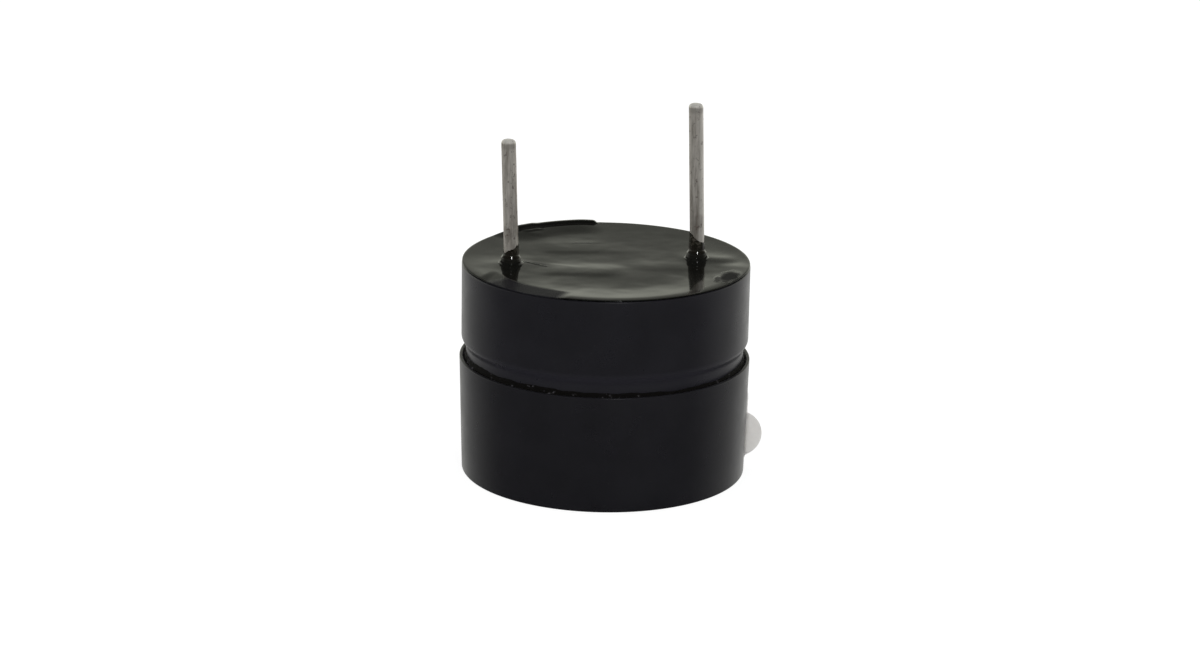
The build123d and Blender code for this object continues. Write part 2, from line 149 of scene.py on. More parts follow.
class Finish:
    """Node material in object coordinates counted in millimetres."""

    def __init__(self, name, colour, roughness, metallic=0.0, ior=1.5):
        self.material = bpy.data.materials.new(name)
        self.material.use_nodes = True
        self.nodes = self.material.node_tree.nodes
        self.links = self.material.node_tree.links
        self.shader = self.nodes["Principled BSDF"]
        self.shader.inputs["Base Color"].default_value = (*colour, 1)
        self.shader.inputs["Roughness"].default_value = roughness
        self.shader.inputs["Metallic"].default_value = metallic
        self.shader.inputs["IOR"].default_value = ior
        place = self.nodes.new("ShaderNodeTexCoord")
        scale = self.nodes.new("ShaderNodeVectorMath")
        scale.operation = "SCALE"
        scale.inputs["Scale"].default_value = 1 / MM
        self.links.new(place.outputs["Object"], scale.inputs[0])
        self.place = scale.outputs[0]

    def stretched(self, x, y, z):
        """The same coordinates, stretched along each axis."""
        stretch = self.nodes.new("ShaderNodeVectorMath")
        stretch.operation = "MULTIPLY"
        stretch.inputs[1].default_value = (x, y, z)
        self.links.new(self.place, stretch.inputs[0])
        return stretch.outputs[0]

    def span(self, axis, low, high):
        """0 to 1 between two places on an axis, in millimetres."""
        parts = self.nodes.new("ShaderNodeSeparateXYZ")
        self.links.new(self.place, parts.inputs[0])
        share = self.nodes.new("ShaderNodeMapRange")
        share.inputs["From Min"].default_value = low
        share.inputs["From Max"].default_value = high
        self.links.new(parts.outputs[axis], share.inputs["Value"])
        return share.outputs[0]

    def patch(self, centre, half, turn=0.0, ragged=0.3, per_mm=4.0, soft=0.25):
        """1 inside an oval with a ragged edge, drawn down the Z axis."""
        oval = self.nodes.new("ShaderNodeMapping")
        oval.vector_type = "TEXTURE"
        oval.inputs["Location"].default_value = (*centre, 0)
        oval.inputs["Rotation"].default_value = (0, 0, math.radians(turn))
        oval.inputs["Scale"].default_value = (*half, 1000)
        self.links.new(self.place, oval.inputs["Vector"])
        away = self.nodes.new("ShaderNodeVectorMath")
        away.operation = "LENGTH"
        self.links.new(oval.outputs[0], away.inputs[0])
        edge = self.nodes.new("ShaderNodeMath")
        edge.operation = "MULTIPLY_ADD"
        self.links.new(self.clouds(per_mm, 3.0), edge.inputs[0])
        edge.inputs[1].default_value = 2 * ragged
        self.links.new(away.outputs["Value"], edge.inputs[2])
        stops = ((1.0 - soft + ragged, 1.0), (1.0 + ragged, 0.0))
        return self.ramp(edge.outputs[0], *stops, smooth=True, reach=2.0)

    def round_axis(self):
        """Distance from the Z axis, and share of a turn round it from -X."""
        away = self.nodes.new("ShaderNodeVectorMath")
        away.operation = "LENGTH"
        self.links.new(self.stretched(1, 1, 0), away.inputs[0])
        turn = self.nodes.new("ShaderNodeTexGradient")
        turn.gradient_type = "RADIAL"
        self.links.new(self.place, turn.inputs["Vector"])
        return away.outputs["Value"], turn.outputs["Fac"]

    def clouds(self, per_mm, detail=3.0, roughness=0.55, place=None):
        """Noise value with its features counted per millimetre."""
        cloud = self.nodes.new("ShaderNodeTexNoise")
        cloud.inputs["Scale"].default_value = per_mm
        cloud.inputs["Detail"].default_value = detail
        cloud.inputs["Roughness"].default_value = roughness
        self.links.new(place or self.place, cloud.inputs["Vector"])
        return cloud.outputs["Fac"]

    def ramp(self, value, *stops, smooth=False, reach=1.0):
        """Value or colour by stops of (position, level or colour)."""
        steps = self.nodes.new("ShaderNodeValToRGB")
        if reach != 1.0:
            narrowed = self.nodes.new("ShaderNodeMath")
            narrowed.operation = "DIVIDE"
            self.links.new(value, narrowed.inputs[0])
            narrowed.inputs[1].default_value = reach
            value = narrowed.outputs[0]
        elements = steps.color_ramp.elements
        if smooth:
            steps.color_ramp.interpolation = "EASE"
        while len(elements) < len(stops):
            elements.new(0.5)
        for element, (position, level) in zip(elements, stops):
            element.position = position / reach
            element.color = (*level, 1) if isinstance(level, tuple) else (level, level, level, 1)
        self.links.new(value, steps.inputs["Fac"])
        return steps.outputs["Color"]

    def mixed(self, share, first, second, blend="MIX"):
        """Two colours mixed by a value."""
        mix = self.nodes.new("ShaderNodeMix")
        mix.data_type = "RGBA"
        mix.blend_type = blend
        for socket, source in ((0, share), (6, first), (7, second)):
            if isinstance(source, bpy.types.NodeSocket):
                self.links.new(source, mix.inputs[socket])
            elif socket:
                mix.inputs[socket].default_value = (*source, 1)
            else:
                mix.inputs[socket].default_value = source
        return mix.outputs[2]

    def relief(self, value, height_mm, strength=1.0):
        """Bump from a value, stacked on the one before."""
        bump = self.nodes.new("ShaderNodeBump")
        bump.inputs["Strength"].default_value = strength
        bump.inputs["Distance"].default_value = height_mm * MM
        self.links.new(value, bump.inputs["Height"])
        normal = self.shader.inputs["Normal"]
        if normal.is_linked:
            self.links.new(normal.links[0].from_socket, bump.inputs["Normal"])
        self.links.new(bump.outputs["Normal"], normal)

    def feed(self, socket, value):
        """Links a pattern to one of the shader's sockets."""
        self.links.new(value, self.shader.inputs[socket])

    def tint(self, pattern, *stops):
        """Base colour by stops of a pattern."""
        self.feed("Base Color", self.ramp(pattern, *stops))

    def gloss(self, pattern, *stops):
        """Roughness by stops of a pattern."""
        self.feed("Roughness", self.ramp(pattern, *stops))

    def on(self, *pieces):
        """Puts the finish on pieces, in place of what they had."""
        for piece in pieces:
            piece.data.materials.clear()
            piece.data.materials.append(self.material)

    def coats(self, *nodes):
        """Gives the finish to CAD nodes that are carried over as they are."""
        for node in nodes:
            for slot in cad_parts[node].material_slots:
                slot.material = self.material


def black_plastic(name, shade, painted_light_band=None):
    """Moulded black plastic: faint mottle, drag marks, dust and fine grain, and, when given, a
    paler band over a height span that is painted light.
    """
    finish = Finish(name, shade, 0.3)
    mottle = finish.clouds(0.55, 2.0)
    dust = finish.ramp(finish.clouds(9.0, 2.0, 0.7), (0.7, 0.0), (0.76, 1.0))
    paler = tuple(channel * 2.6 + 0.004 for channel in shade)
    body = finish.mixed(finish.ramp(mottle, (0.35, 0.0), (0.7, 0.12)), shade, paler)
    # Painted light: a greyer band over a height span lifts the downward-facing shoulder and neck,
    # which get little light.
    if painted_light_band:
        low, high, stops = painted_light_band
        painted_paler = tuple(channel * 2 for channel in shade)
        body = finish.mixed(finish.ramp(finish.span("Z", low, high), *stops), body, painted_paler)
    finish.feed("Base Color", finish.mixed(dust, body, (0.03, 0.03, 0.032)))
    finish.gloss(finish.clouds(1.3, 3.0), (0.3, 0.27), (0.7, 0.33))
    finish.relief(finish.clouds(26.0, 2.0), 0.0008, 0.5)
    drag = finish.clouds(1.0, 2.0, place=finish.stretched(7.0, 7.0, 0.25))
    finish.relief(drag, 0.0015, 0.3)
    return finish


cap_plastic = black_plastic("black_cap_plastic", (0.0104, 0.0101, 0.0130))
cap_plastic.on(front_cap)
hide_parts("front_cap")
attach(front_cap, "root")

# ---- Piezo plate
# A brass disc stamped from rolled sheet. It is the diaphragm, and the fine
# lines of the rolling run straight across it.
brass = Finish("rolled_brass", (0.8, 0.62, 0.3), 0.3, metallic=1.0)
rolling = brass.clouds(1.0, 4.0, place=brass.stretched(0.4, 16.0, 1.0))
brass.tint(rolling, (0.3, (0.72, 0.54, 0.25)), (0.7, (0.84, 0.66, 0.34)))
brass.gloss(rolling, (0.3, 0.42), (0.7, 0.26))
brass.relief(rolling, 0.002, 0.6)
brass.coats("piezo_plate")

# ---- Piezo ceramic
# A thin fired ceramic disc bonded to the brass. Its surface is matt and
# faintly grained, with small darker pores.
ceramic = Finish("fired_ceramic", (0.62, 0.58, 0.48), 0.6)
grain = ceramic.clouds(12.0, 3.0)
pores = ceramic.ramp(ceramic.clouds(7.0, 2.0, 0.5), (0.68, 0.0), (0.74, 1.0))
fired = ceramic.ramp(grain, (0.3, (0.57, 0.53, 0.43)), (0.7, (0.66, 0.62, 0.52)))
ceramic.feed("Base Color", ceramic.mixed(pores, fired, (0.3, 0.27, 0.22)))
ceramic.relief(grain, 0.002, 0.5)
ceramic.coats("piezo_ceramic")

# ---- Electrodes
# Two films of silver printed on the ceramic and fired: the large one drives
# it and the tongue beside it picks up the feedback. The print is matt.
silver = Finish("fired_silver", (0.82, 0.82, 0.8), 0.5, metallic=0.9)
print_grain = silver.clouds(18.0, 2.0)
tarnish = silver.clouds(0.9, 3.0)
silver.tint(tarnish, (0.35, (0.84, 0.84, 0.82)), (0.75, (0.7, 0.68, 0.62)))
silver.gloss(print_grain, (0.3, 0.42), (0.7, 0.6))
silver.relief(print_grain, 0.002, 0.6)
silver.coats("main_electrode", "feedback_electrode")

# ---- Diaphragm adhesive
# A ring of soft white silicone that holds the edge of the plate on the seat
# inside the cap.
silicone = Finish("white_silicone", (0.75, 0.75, 0.73), 0.4)
lumps = silicone.clouds(2.4, 3.0)
silicone.tint(lumps, (0.3, (0.7, 0.7, 0.68)), (0.7, (0.78, 0.78, 0.76)))
silicone.gloss(lumps, (0.3, 0.34), (0.7, 0.48))
silicone.relief(lumps, 0.02, 0.6)
silicone.coats("diaphragm_adhesive")

# ---- Rear case
# A tube moulded in the same black plastic, with a necked spigot that drops
# into the cap, a ledge that carries the circuit board and a pocket that holds
# the resin. The ledge is cut back round the two solder cones.
CASE_RADIUS = 5.9
CASE_RIM = 8.78
POCKET_RADIUS = 5.5
PIN_X = 3.8

case_profile = (
    [(4.95, 2.95), (5.46, 2.95), (5.46, 4.5)]
    + [(5.690, 4.86), (5.697, 4.9), (5.705, 5.05), (5.708, 5.18)]
    + [(5.713, 5.25), (5.724, 5.31), (5.745, 5.37), (5.775, 5.43), (5.81, 5.49)]
    + [(5.845, 5.55), (5.873, 5.60), (5.891, 5.65), (5.899, 5.70)]
    + [(CASE_RADIUS, height) for height in (6.4, 7.2, 8.0)]
    + arc((5.83, 8.71), 0.07, 0, 90, 6)
    + [(POCKET_RADIUS, CASE_RIM), (POCKET_RADIUS, 6.6), (4.95, 6.6)]
)
rear_case = turned("moulded_rear_case", case_profile)
for side in (PIN_X, -PIN_X):
    cut_round(rear_case, 1.2, 0.85, (side, 0, 6.19), Matrix.Identity(4))
# Heights and ramp of the greyer band painted on the shoulder and neck as painted light.
neck_painted_light = (4.9, 5.9, ((0.0, 0.45), (0.4, 0.6), (0.62, 1.0), (0.9, 0.0)))
case_plastic = black_plastic("black_case_plastic", (0.0116, 0.0113, 0.0148), neck_painted_light)
case_plastic.on(rear_case)
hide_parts("rear_case")
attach(rear_case, "root")

# ---- Circuit board
# A round board punched from brown phenolic paper laminate. Fibres of the
# paper show through the resin as long pale flecks.
laminate = Finish("phenolic_laminate", (0.5, 0.36, 0.16), 0.5)
fibres = laminate.clouds(1.0, 5.0, 0.65, laminate.stretched(1.2, 9.0, 4.0))
laminate.tint(fibres, (0.3, (0.42, 0.29, 0.12)), (0.72, (0.6, 0.45, 0.23)))
laminate.gloss(fibres, (0.3, 0.42), (0.7, 0.58))
laminate.relief(fibres, 0.004, 0.6)
laminate.coats("circuit_board")

# ---- Board copper
# Tracks etched from copper foil, a little tarnished between the joints.
copper = Finish("etched_copper", (0.72, 0.43, 0.28), 0.35, metallic=1.0)
oxide = copper.clouds(1.6, 4.0)
copper.tint(oxide, (0.35, (0.74, 0.45, 0.3)), (0.75, (0.5, 0.27, 0.18)))
copper.gloss(oxide, (0.3, 0.28), (0.7, 0.5))
copper.relief(copper.clouds(20.0, 2.0), 0.001, 0.5)
copper.coats("board_copper")

# ---- Driver transistor
# A small package moulded in black epoxy, fine and matt from its mould, on
# three bent legs plated with tin.
epoxy = Finish("moulded_epoxy", (0.03, 0.03, 0.03), 0.6)
spark = epoxy.clouds(30.0, 2.0)
epoxy.tint(spark, (0.35, (0.024, 0.024, 0.025)), (0.75, (0.045, 0.045, 0.045)))
epoxy.gloss(spark, (0.3, 0.5), (0.7, 0.68))
epoxy.relief(spark, 0.003, 0.8)
epoxy.coats("driver_transistor")
plating = Finish("tin_plating", (0.6, 0.6, 0.58), 0.35, metallic=0.9)
bend_marks = plating.clouds(6.0, 3.0)
plating.tint(bend_marks, (0.3, (0.5, 0.5, 0.48)), (0.7, (0.68, 0.68, 0.66)))
plating.gloss(bend_marks, (0.3, 0.48), (0.7, 0.3))
plating.coats("transistor_legs")

# ---- Chip resistors
# Two ceramic chips glazed dark on top, with solder-plated ends that wrap
# round all sides.
glaze = Finish("dark_glaze", (0.08, 0.08, 0.1), 0.25)
ripple = glaze.clouds(5.0, 2.0)
glaze.tint(ripple, (0.3, (0.06, 0.06, 0.08)), (0.7, (0.1, 0.1, 0.125)))
glaze.relief(ripple, 0.004, 0.5)
glaze.coats("base_resistor", "feedback_resistor")
chip_ends = Finish("chip_end_solder", (0.6, 0.6, 0.6), 0.3, metallic=0.9)
pull = chip_ends.clouds(5.0, 3.0)
chip_ends.tint(pull, (0.3, (0.52, 0.52, 0.52)), (0.7, (0.68, 0.68, 0.68)))
chip_ends.gloss(pull, (0.3, 0.24), (0.7, 0.42))
chip_ends.relief(pull, 0.01, 0.5)
chip_ends.coats("base_resistor_ends", "feedback_resistor_ends")

# ---- Boost coil
# A sintered ferrite drum with fine enamelled copper wire wound on its waist.
# The turns lie side by side, 0.07 mm apart.
ferrite = Finish("sintered_ferrite", (0.1, 0.1, 0.1), 0.55)
sinter = ferrite.clouds(14.0, 3.0)
ferrite.tint(sinter, (0.3, (0.075, 0.075, 0.08)), (0.7, (0.13, 0.13, 0.13)))
ferrite.gloss(sinter, (0.3, 0.45), (0.7, 0.65))
ferrite.relief(sinter, 0.004, 0.8)
ferrite.coats("boost_coil_core")
enamel = Finish("enamelled_copper", (0.6, 0.27, 0.12), 0.25, metallic=0.8)
turns = enamel.nodes.new("ShaderNodeTexWave")
turns.bands_direction = "Z"
turns.inputs["Scale"].default_value = math.tau / 20 / 0.07
turns.inputs["Distortion"].default_value = 0.4
enamel.links.new(enamel.place, turns.inputs["Vector"])
# Painted shade: the dark lines between the turns stand in for the shade in the grooves between the
# wires.
enamel.tint(turns.outputs["Fac"], (0.0, (0.2, 0.07, 0.03)), (0.5, (0.62, 0.28, 0.12)))
enamel.relief(turns.outputs["Fac"], 0.03, 0.9)
enamel.coats("boost_coil_winding")

# ---- Leads
# Three fine wires with soft plastic insulation, red for drive, white for
# feedback and black for ground, from the element up to the board.
for name, node, shade in (
    ("red_lead", "drive_lead", (0.5, 0.03, 0.03)),
    ("white_lead", "feedback_lead", (0.75, 0.75, 0.72)),
    ("black_lead", "ground_lead", (0.03, 0.03, 0.03)),
):
    sleeve = Finish(name + "_sleeve", shade, 0.35)
    flow = sleeve.clouds(3.0, 2.0)
    worn = tuple(0.8 * channel for channel in shade)
    sleeve.feed("Base Color", sleeve.mixed(sleeve.ramp(flow, (0.4, 0.0), (0.7, 1.0)), shade, worn))
    sleeve.gloss(flow, (0.3, 0.28), (0.7, 0.45))
    sleeve.relief(flow, 0.008, 0.5)
    sleeve.coats(node)

# ---- Solder
# Bright reflowed dots on the element and the board, and a cone round each
# pin. Yellow flux residue dulls them in places.
solder = Finish("reflowed_solder", (0.6, 0.6, 0.6), 0.25, metallic=0.9)
dimples = solder.clouds(4.0, 3.0)
flux = solder.ramp(solder.clouds(1.8, 3.0), (0.58, 0.0), (0.7, 0.7))
bright = solder.ramp(dimples, (0.3, (0.5, 0.5, 0.5)), (0.7, (0.68, 0.68, 0.68)))
solder.feed("Base Color", solder.mixed(flux, bright, (0.4, 0.3, 0.14)))
solder.gloss(dimples, (0.3, 0.2), (0.7, 0.4))
solder.relief(dimples, 0.012, 0.6)
solder.coats("element_solder", "board_lead_solder", "positive_pin_solder", "negative_pin_solder")

# ---- Joint adhesive
# Adhesive squeezed up between spigot and cap mouth when the halves were pressed together, coloured
# near black as painted shade of the gap between them. It cured with an uneven top a little below
# the cap's rim.
def creep(angle):
    """How far the adhesive crept up or fell short at an angle, in millimetres."""
    along = Vector((7 * math.cos(angle), 7 * math.sin(angle), 0.7))
    starved = 0.09 * max(0.0, math.cos(angle - math.radians(320))) ** 2
    starved += 0.05 * max(0.0, math.cos(angle - math.radians(288))) ** 60 + 0.015
    return 0.07 * noise.noise(along) + 0.035 * noise.noise(3 * along) - starved


bm = bmesh.new()
adhesive_rings = []
for radius, height, level in (
    (5.46, 4.1, 0.0), (5.52, 4.1, 0.0), (5.52, 4.55, 0.0), (5.79, 4.763, 0.0),
    (5.775, 4.79, 0.15), (5.748, 4.84, 0.4), (5.734, 4.9, 0.8), (5.727, 4.96, 1.0),
    (5.72, 5.0, 1.0), (5.709, 5.02, 1.0), (5.69, 4.99, 1.0), (5.685, 4.86, 0.0), (5.46, 4.5, 0.0),
):
    corners = ring(bm, radius, height)
    for step, corner in enumerate(corners):
        corner.co.z += level * creep(math.tau * step / AROUND)
    adhesive_rings.append(corners)
for lower, upper in zip(adhesive_rings, adhesive_rings[1:] + adhesive_rings[:1]):
    band(bm, lower, upper)
joint_adhesive = mesh_object("seam_adhesive", bm, 60)
# Painted shade: the glue's near-black base, darker than the plastic round it, stands in for the
# shade in the gap.
seam_glue_and_gap_shade = Finish("seam_glue_and_gap_shade", (0.004, 0.003, 0.0026), 0.7, ior=1.3)
flecks = seam_glue_and_gap_shade.ramp(seam_glue_and_gap_shade.clouds(2.6, 4.0, 0.7), (0.6, 0.0), (0.68, 1.0))
seam_glue_and_gap_shade.feed("Base Color", seam_glue_and_gap_shade.mixed(flecks, (0.004, 0.003, 0.0026), (0.10, 0.095, 0.11)))
seam_glue_and_gap_shade.gloss(flecks, (0.0, 0.75), (1.0, 0.5))
seam_glue_and_gap_shade.relief(seam_glue_and_gap_shade.clouds(7.0, 3.0), 0.02, 0.6)
seam_glue_and_gap_shade.on(joint_adhesive)
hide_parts("joint_adhesive")
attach(joint_adhesive, "root")

# ---- Terminal pins
# Two lengths of tinned wire soldered through the board, sheared off at the
# top and tumbled, so the cut end is a low dome. The tin is dull, with brown
# specks and greyer streaks low down.
PIN_RADIUS = 0.3
PIN_FOOT = 6.05
PIN_CHAMFER = 0.08
PIN_DOME = 0.16
PIN_AROUND = 56
PIN_LEAN = math.radians(1.9)
PIN_BEND = 3.0
BOARD_TOP = 7.2
RESIN_TOP = 8.9
POSITIVE_STAND = 3.75
NEGATIVE_STAND = -3.93
STANDS = (POSITIVE_STAND, NEGATIVE_STAND)


def pin_axis(x, bend_height, height):
    """Centre of a pin at a height: a slant in the resin, a bend, then the lean."""
    stand = POSITIVE_STAND if x > 0 else NEGATIVE_STAND
    x += (stand - x) * min(1.0, max(0.0, (height - BOARD_TOP) / (RESIN_TOP - BOARD_TOP)))
    half_bend = PIN_BEND * math.tan(PIN_LEAN / 2)
    above = height - (bend_height - half_bend)
    if above <= 0:
        return Vector((x, 0, height))
    angle = min(PIN_LEAN, math.asin(min(1.0, above / PIN_BEND)))
    if angle < PIN_LEAN:
        return Vector((x - PIN_BEND * (1 - math.cos(angle)), 0, height))
    return Vector((x - (height - bend_height) * math.tan(PIN_LEAN), 0, height))


def wire_pin(name, x, bend_height, tip_height, seed):
    """Wire swept up its axis, a hair uneven, with its rounded cut end."""
    bm = bmesh.new()
    stations = [(PIN_FOOT, PIN_RADIUS - PIN_CHAMFER), (PIN_FOOT + PIN_CHAMFER, PIN_RADIUS)]
    shaft = tip_height - PIN_DOME - PIN_FOOT - PIN_CHAMFER
    steps = int(shaft / 0.11)
    for step in range(1, steps + 1):
        share = step / steps
        stations.append((PIN_FOOT + PIN_CHAMFER + share * shaft, PIN_RADIUS))
    for step in range(1, 8):
        angle = math.radians(90 * step / 7)
        radius = PIN_RADIUS - PIN_DOME * (1 - math.cos(angle))
        stations.append((tip_height - PIN_DOME + PIN_DOME * math.sin(angle), radius))
    rings = []
    for height, radius in stations:
        centre = pin_axis(x, bend_height, height)
        corners = ring(bm, radius, 0.0, count=PIN_AROUND)
        for corner in corners:
            spot = Vector((corner.co.x * 1.6, corner.co.y * 1.6, height * 0.5 + seed))
            corner.co *= 1 - 0.012 * (0.5 + noise.noise(spot))
            corner.co += centre
        rings.append(corners)
    for lower, upper in zip(rings, rings[1:]):
        band(bm, lower, upper)
    bm.faces.new(rings[0])
    crown = pin_axis(x, bend_height, tip_height)
    hub = bm.verts.new(crown)
    inner = [bm.verts.new(crown.lerp(corner.co, 0.5)) for corner in rings[-1]]
    band(bm, rings[-1], inner)
    for step in range(PIN_AROUND):
        bm.faces.new((inner[step], inner[(step + 1) % PIN_AROUND], hub))
    return mesh_object(name, bm)


def tinned_wire(name, stand, bend_height, tip_height, seed, painted_highlight_share):
    """Dull tin: grey streaks along the wire, darker patches low down, brown specks, a pale cut
    end, a painted highlight down one side and a painted shade band under the dome.
    """
    finish = Finish(name, (0.54, 0.515, 0.475), 0.45, metallic=0.6)
    long_way = finish.stretched(9.0, 9.0, 0.9)
    streak = finish.clouds(0.8, 5.0, 0.7, long_way)
    tin = finish.ramp(
        streak, (0.36, (0.36, 0.33, 0.29)), (0.5, (0.57, 0.54, 0.49)), (0.64, (0.72, 0.69, 0.63)),
    )
    # Painted highlight: one side of the wire is mixed towards near white, as if lit from that
    # side.
    across = finish.nodes.new("ShaderNodeVectorMath")
    across.operation = "DOT_PRODUCT"
    across.inputs[1].default_value = (1, 0, math.tan(PIN_LEAN))
    finish.links.new(finish.place, across.inputs[0])
    axis = stand + bend_height * math.tan(PIN_LEAN)
    side = finish.nodes.new("ShaderNodeMapRange")
    side.inputs["From Min"].default_value = axis - 0.02
    side.inputs["From Max"].default_value = axis + 0.22
    side.inputs["To Max"].default_value = painted_highlight_share
    finish.links.new(across.outputs["Value"], side.inputs["Value"])
    tin = finish.mixed(side.outputs[0], tin, (0.95, 0.93, 0.88))
    # Darker in patches towards the bottom of the wire.
    low = finish.ramp(finish.span("Z", RESIN_TOP, 11.6), (0.0, 1.0), (0.5, 0.75), (1.0, 0.0))
    low_patch_noise = finish.clouds(2.3 + seed, 3.0, 0.6, finish.stretched(1, 1, 0.5))
    low_dark_share = finish.ramp(low_patch_noise, (0.46, 0.0), (0.56, 0.55))
    tin = finish.mixed(finish.mixed(1.0, low, low_dark_share, "MULTIPLY"), tin, (0.16, 0.135, 0.11))
    # Painted shade: a darker band just under the dome, where the top edge of the wire turns.
    painted_tip_shade = finish.ramp(
        finish.span("Z", tip_height - 0.6, tip_height),
        (0.3, 0.0), (0.5, 0.4), (0.72, 0.45), (0.8, 0.0),
    )
    tin = finish.mixed(painted_tip_shade, tin, (0.25, 0.235, 0.21))
    cut_end = finish.ramp(finish.span("Z", tip_height - 0.2, tip_height), (0.3, 0.0), (0.75, 0.8))
    tin = finish.mixed(cut_end, tin, (0.98, 0.96, 0.9))
    speck = finish.ramp(finish.clouds(5.2 + seed, 3.0, 0.65), (0.6, 0.0), (0.68, 0.7))
    tin = finish.mixed(speck, tin, (0.13, 0.1, 0.09))
    finish.feed("Base Color", tin)
    finish.gloss(streak, (0.3, 0.55), (0.7, 0.36))
    finish.relief(finish.clouds(14.0, 3.0), 0.006, 0.5)
    finish.relief(streak, 0.012, 0.5)
    return finish


for name, node, x, stand, bend, tip, seed, painted_highlight_share in (
    ("tinned_positive_pin", "positive_pin", PIN_X, POSITIVE_STAND, 9.85, 15.33, 0.0, 0.45),
    ("tinned_negative_pin", "negative_pin", -PIN_X, NEGATIVE_STAND, 9.60, 14.0, 0.35, 0.1),
):
    pin = wire_pin(name, x, bend, tip, seed)
    tinned_wire(name + "_tin", stand, bend, tip, seed, painted_highlight_share).on(pin)
    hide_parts(node)
    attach(pin, "root")

# ---- Potting resin
# Black resin poured over the board up to the rim and left to level. It wets
# the rim all round, climbs both pins, swells over the parts under it and ran
# over the rim at the back and at the front left before it set.
RESIN_MIDDLE = 8.805
BACK_LIP = (86, 121)
RESIN_FLOOR = 7.2
RIM_LAND = 8.782
COIL = (-0.95, -0.25)
COIL_RADIUS = 1.5
COIL_WAIST = 1.28
HOLE_RADIUS = 0.297
COLLAR_RADIUS = 0.335
COLLAR_WAIST = 0.377
NECK_SLOPE = 1.645
NECK_HEIGHT = 0.065


def ease(value):
    """Smooth step from 0 to 1."""
    value = min(1.0, max(0.0, value))
    return value * value * (3 - 2 * value)


def stretch_share(angle, start, end, fade):
    """1 between two angles in degrees, falling to 0 over the fade outside."""
    middle, half = (start + end) / 2, (end - start) / 2
    away = abs((angle - middle + 180) % 360 - 180) - half
    return ease(1 - away / fade)


def resin_edge(angle):
    """Reach, and width and drop of the small rounding at the edge, at an angle."""
    back = stretch_share(angle, *BACK_LIP, 2.5)
    turn = math.radians(angle)
    wave = noise.noise(Vector((3 * math.cos(turn), 3 * math.sin(turn), 2.0)))
    reach = 5.888 + 0.004 * wave + 0.007 * back
    width = 0.03 + 0.09 * back
    drop = 0.02 + 0.08 * back
    return reach, width, drop


def rim_level(angle, away, reach):
    """Height of the resin towards the rim: dish, lip, spill and roll-off."""
    spill = stretch_share(angle, 207 - 9 * (5.9 - away), 240, 6)
    swept = stretch_share(angle, 203, 249, 26) * ease((away - 2.5) / 2.4)
    front = stretch_share(angle, 250, 325, 35) * ease((away - 3.9) / 2.2)
    level = RESIN_MIDDLE + 0.038 * (min(away, 5.8) / 5.8) ** 2.6 + 0.014 * swept + 0.036 * front
    level += 0.055 * stretch_share(angle, 93, 124, 12) * ease((away - 4.1) / 1.5)
    level += 0.11 * stretch_share(angle, *BACK_LIP, 1.6) * ease((away - 5.53) / 0.1)
    level += 0.035 * stretch_share(angle, 114, 119, 4) * ease((away - 5.1) / 0.12)
    crest = 4.86 + 0.13 * ease((angle - 234) / 8)
    if away > crest:
        level -= 0.05 * spill * ((away - crest) / (reach - crest)) ** 1.1
    if away > 5.4:
        rolled = stretch_share(angle, 196, 345, 20) * (1 - spill)
        level -= 0.014 * rolled * ((away - 5.4) / (reach - 5.4)) ** 2
    return level


def swelling(x, y, start, end, depth, rise, fall, height, fade):
    """Low ridge with its front foot along a line and its back slope behind."""
    run = Vector((end[0] - start[0], end[1] - start[1]))
    spot = Vector((x - start[0], y - start[1]))
    length = run.length
    along = spot.dot(run) / length
    across = (run.x * spot.y - run.y * spot.x) / length
    ends = ease((along + 0.6) / 1.0) * ease((length + 0.6 - along) / fade)
    front = 1 / (1 + math.exp(-4 * across / rise))
    back = 1 / (1 + math.exp(-4 * (across - depth) / fall))
    return height * ends * (front - back)


# Foot line from and to, depth, length of the front and back slope, height, and
# length over which the far end fades.
SWELLINGS = (
    ((-2.6, -1.76), (0.3, -2.19), 1.3, 0.5, 0.9, 0.0165, 1.4),
    ((-2.1, 1.48), (0.9, 1.22), 1.5, 0.55, 1.2, 0.016, 2.6),
    ((-1.0, 2.78), (-0.1, 2.68), 0.2, 0.08, 0.4, 0.002, 0.5),
    ((-3.4, 0.28), (-1.6, -0.70), 0.12, 0.4, 0.14, 0.002, 1.0),
    ((-2.4, -2.7), (1.8, -3.0), 2.2, 1.7, 1.7, 0.013, 2.0),
    ((1.2, -1.5), (3.0, -1.7), 1.1, 0.9, 0.9, 0.013, 1.0),
    ((4.1, -0.44), (4.9, -0.67), 0.7, 0.6, 0.8, 0.018, 0.8),
    ((4.95, -1.9), (5.35, -1.75), 0.7, 0.6, 0.5, 0.008, 0.8),
    ((-5.3, -0.35), (-4.5, -0.45), 0.8, 0.8, 1.0, 0.008, 0.8),
    ((-2.9, 4.25), (-2.3, 4.0), 0.5, 0.3, 0.5, 0.018, 1.0),
)


def climb(x, y, pin_x, level, tilt, seed):
    """Height that the resin is drawn up a pin, above the flat."""
    away = math.hypot(x - pin_x, y)
    if away > 3.0:
        return 0.0
    turn = math.atan2(y, x - pin_x)
    lip = level + tilt * math.cos(turn) + 0.05 * math.sin(2 * turn + seed)
    lip += 0.09 * noise.noise(Vector((1.6 * math.cos(turn), 1.6 * math.sin(turn), seed)))
    lip += 0.06 * noise.noise(Vector((5 * math.cos(turn), 5 * math.sin(turn), seed)))
    if away < COLLAR_RADIUS:
        drawn = min(1.0, (COLLAR_RADIUS - away) / 0.017)
        return COLLAR_WAIST + (lip - COLLAR_WAIST) * drawn
    foot = away - COLLAR_RADIUS
    uneven = 1 + 0.3 * math.sin(3 * turn + seed) + 0.2 * math.sin(5 * turn - 2 * seed)
    neck = NECK_SLOPE * max(0.0, NECK_HEIGHT - foot)
    neck += 0.25 * (1 - ease((foot - NECK_HEIGHT) / 0.02))
    bead = 0.085 * uneven * math.exp(-((foot - 0.11) / 0.035) ** 4)
    return neck + bead + 0.02 * math.exp(-foot / 0.55)


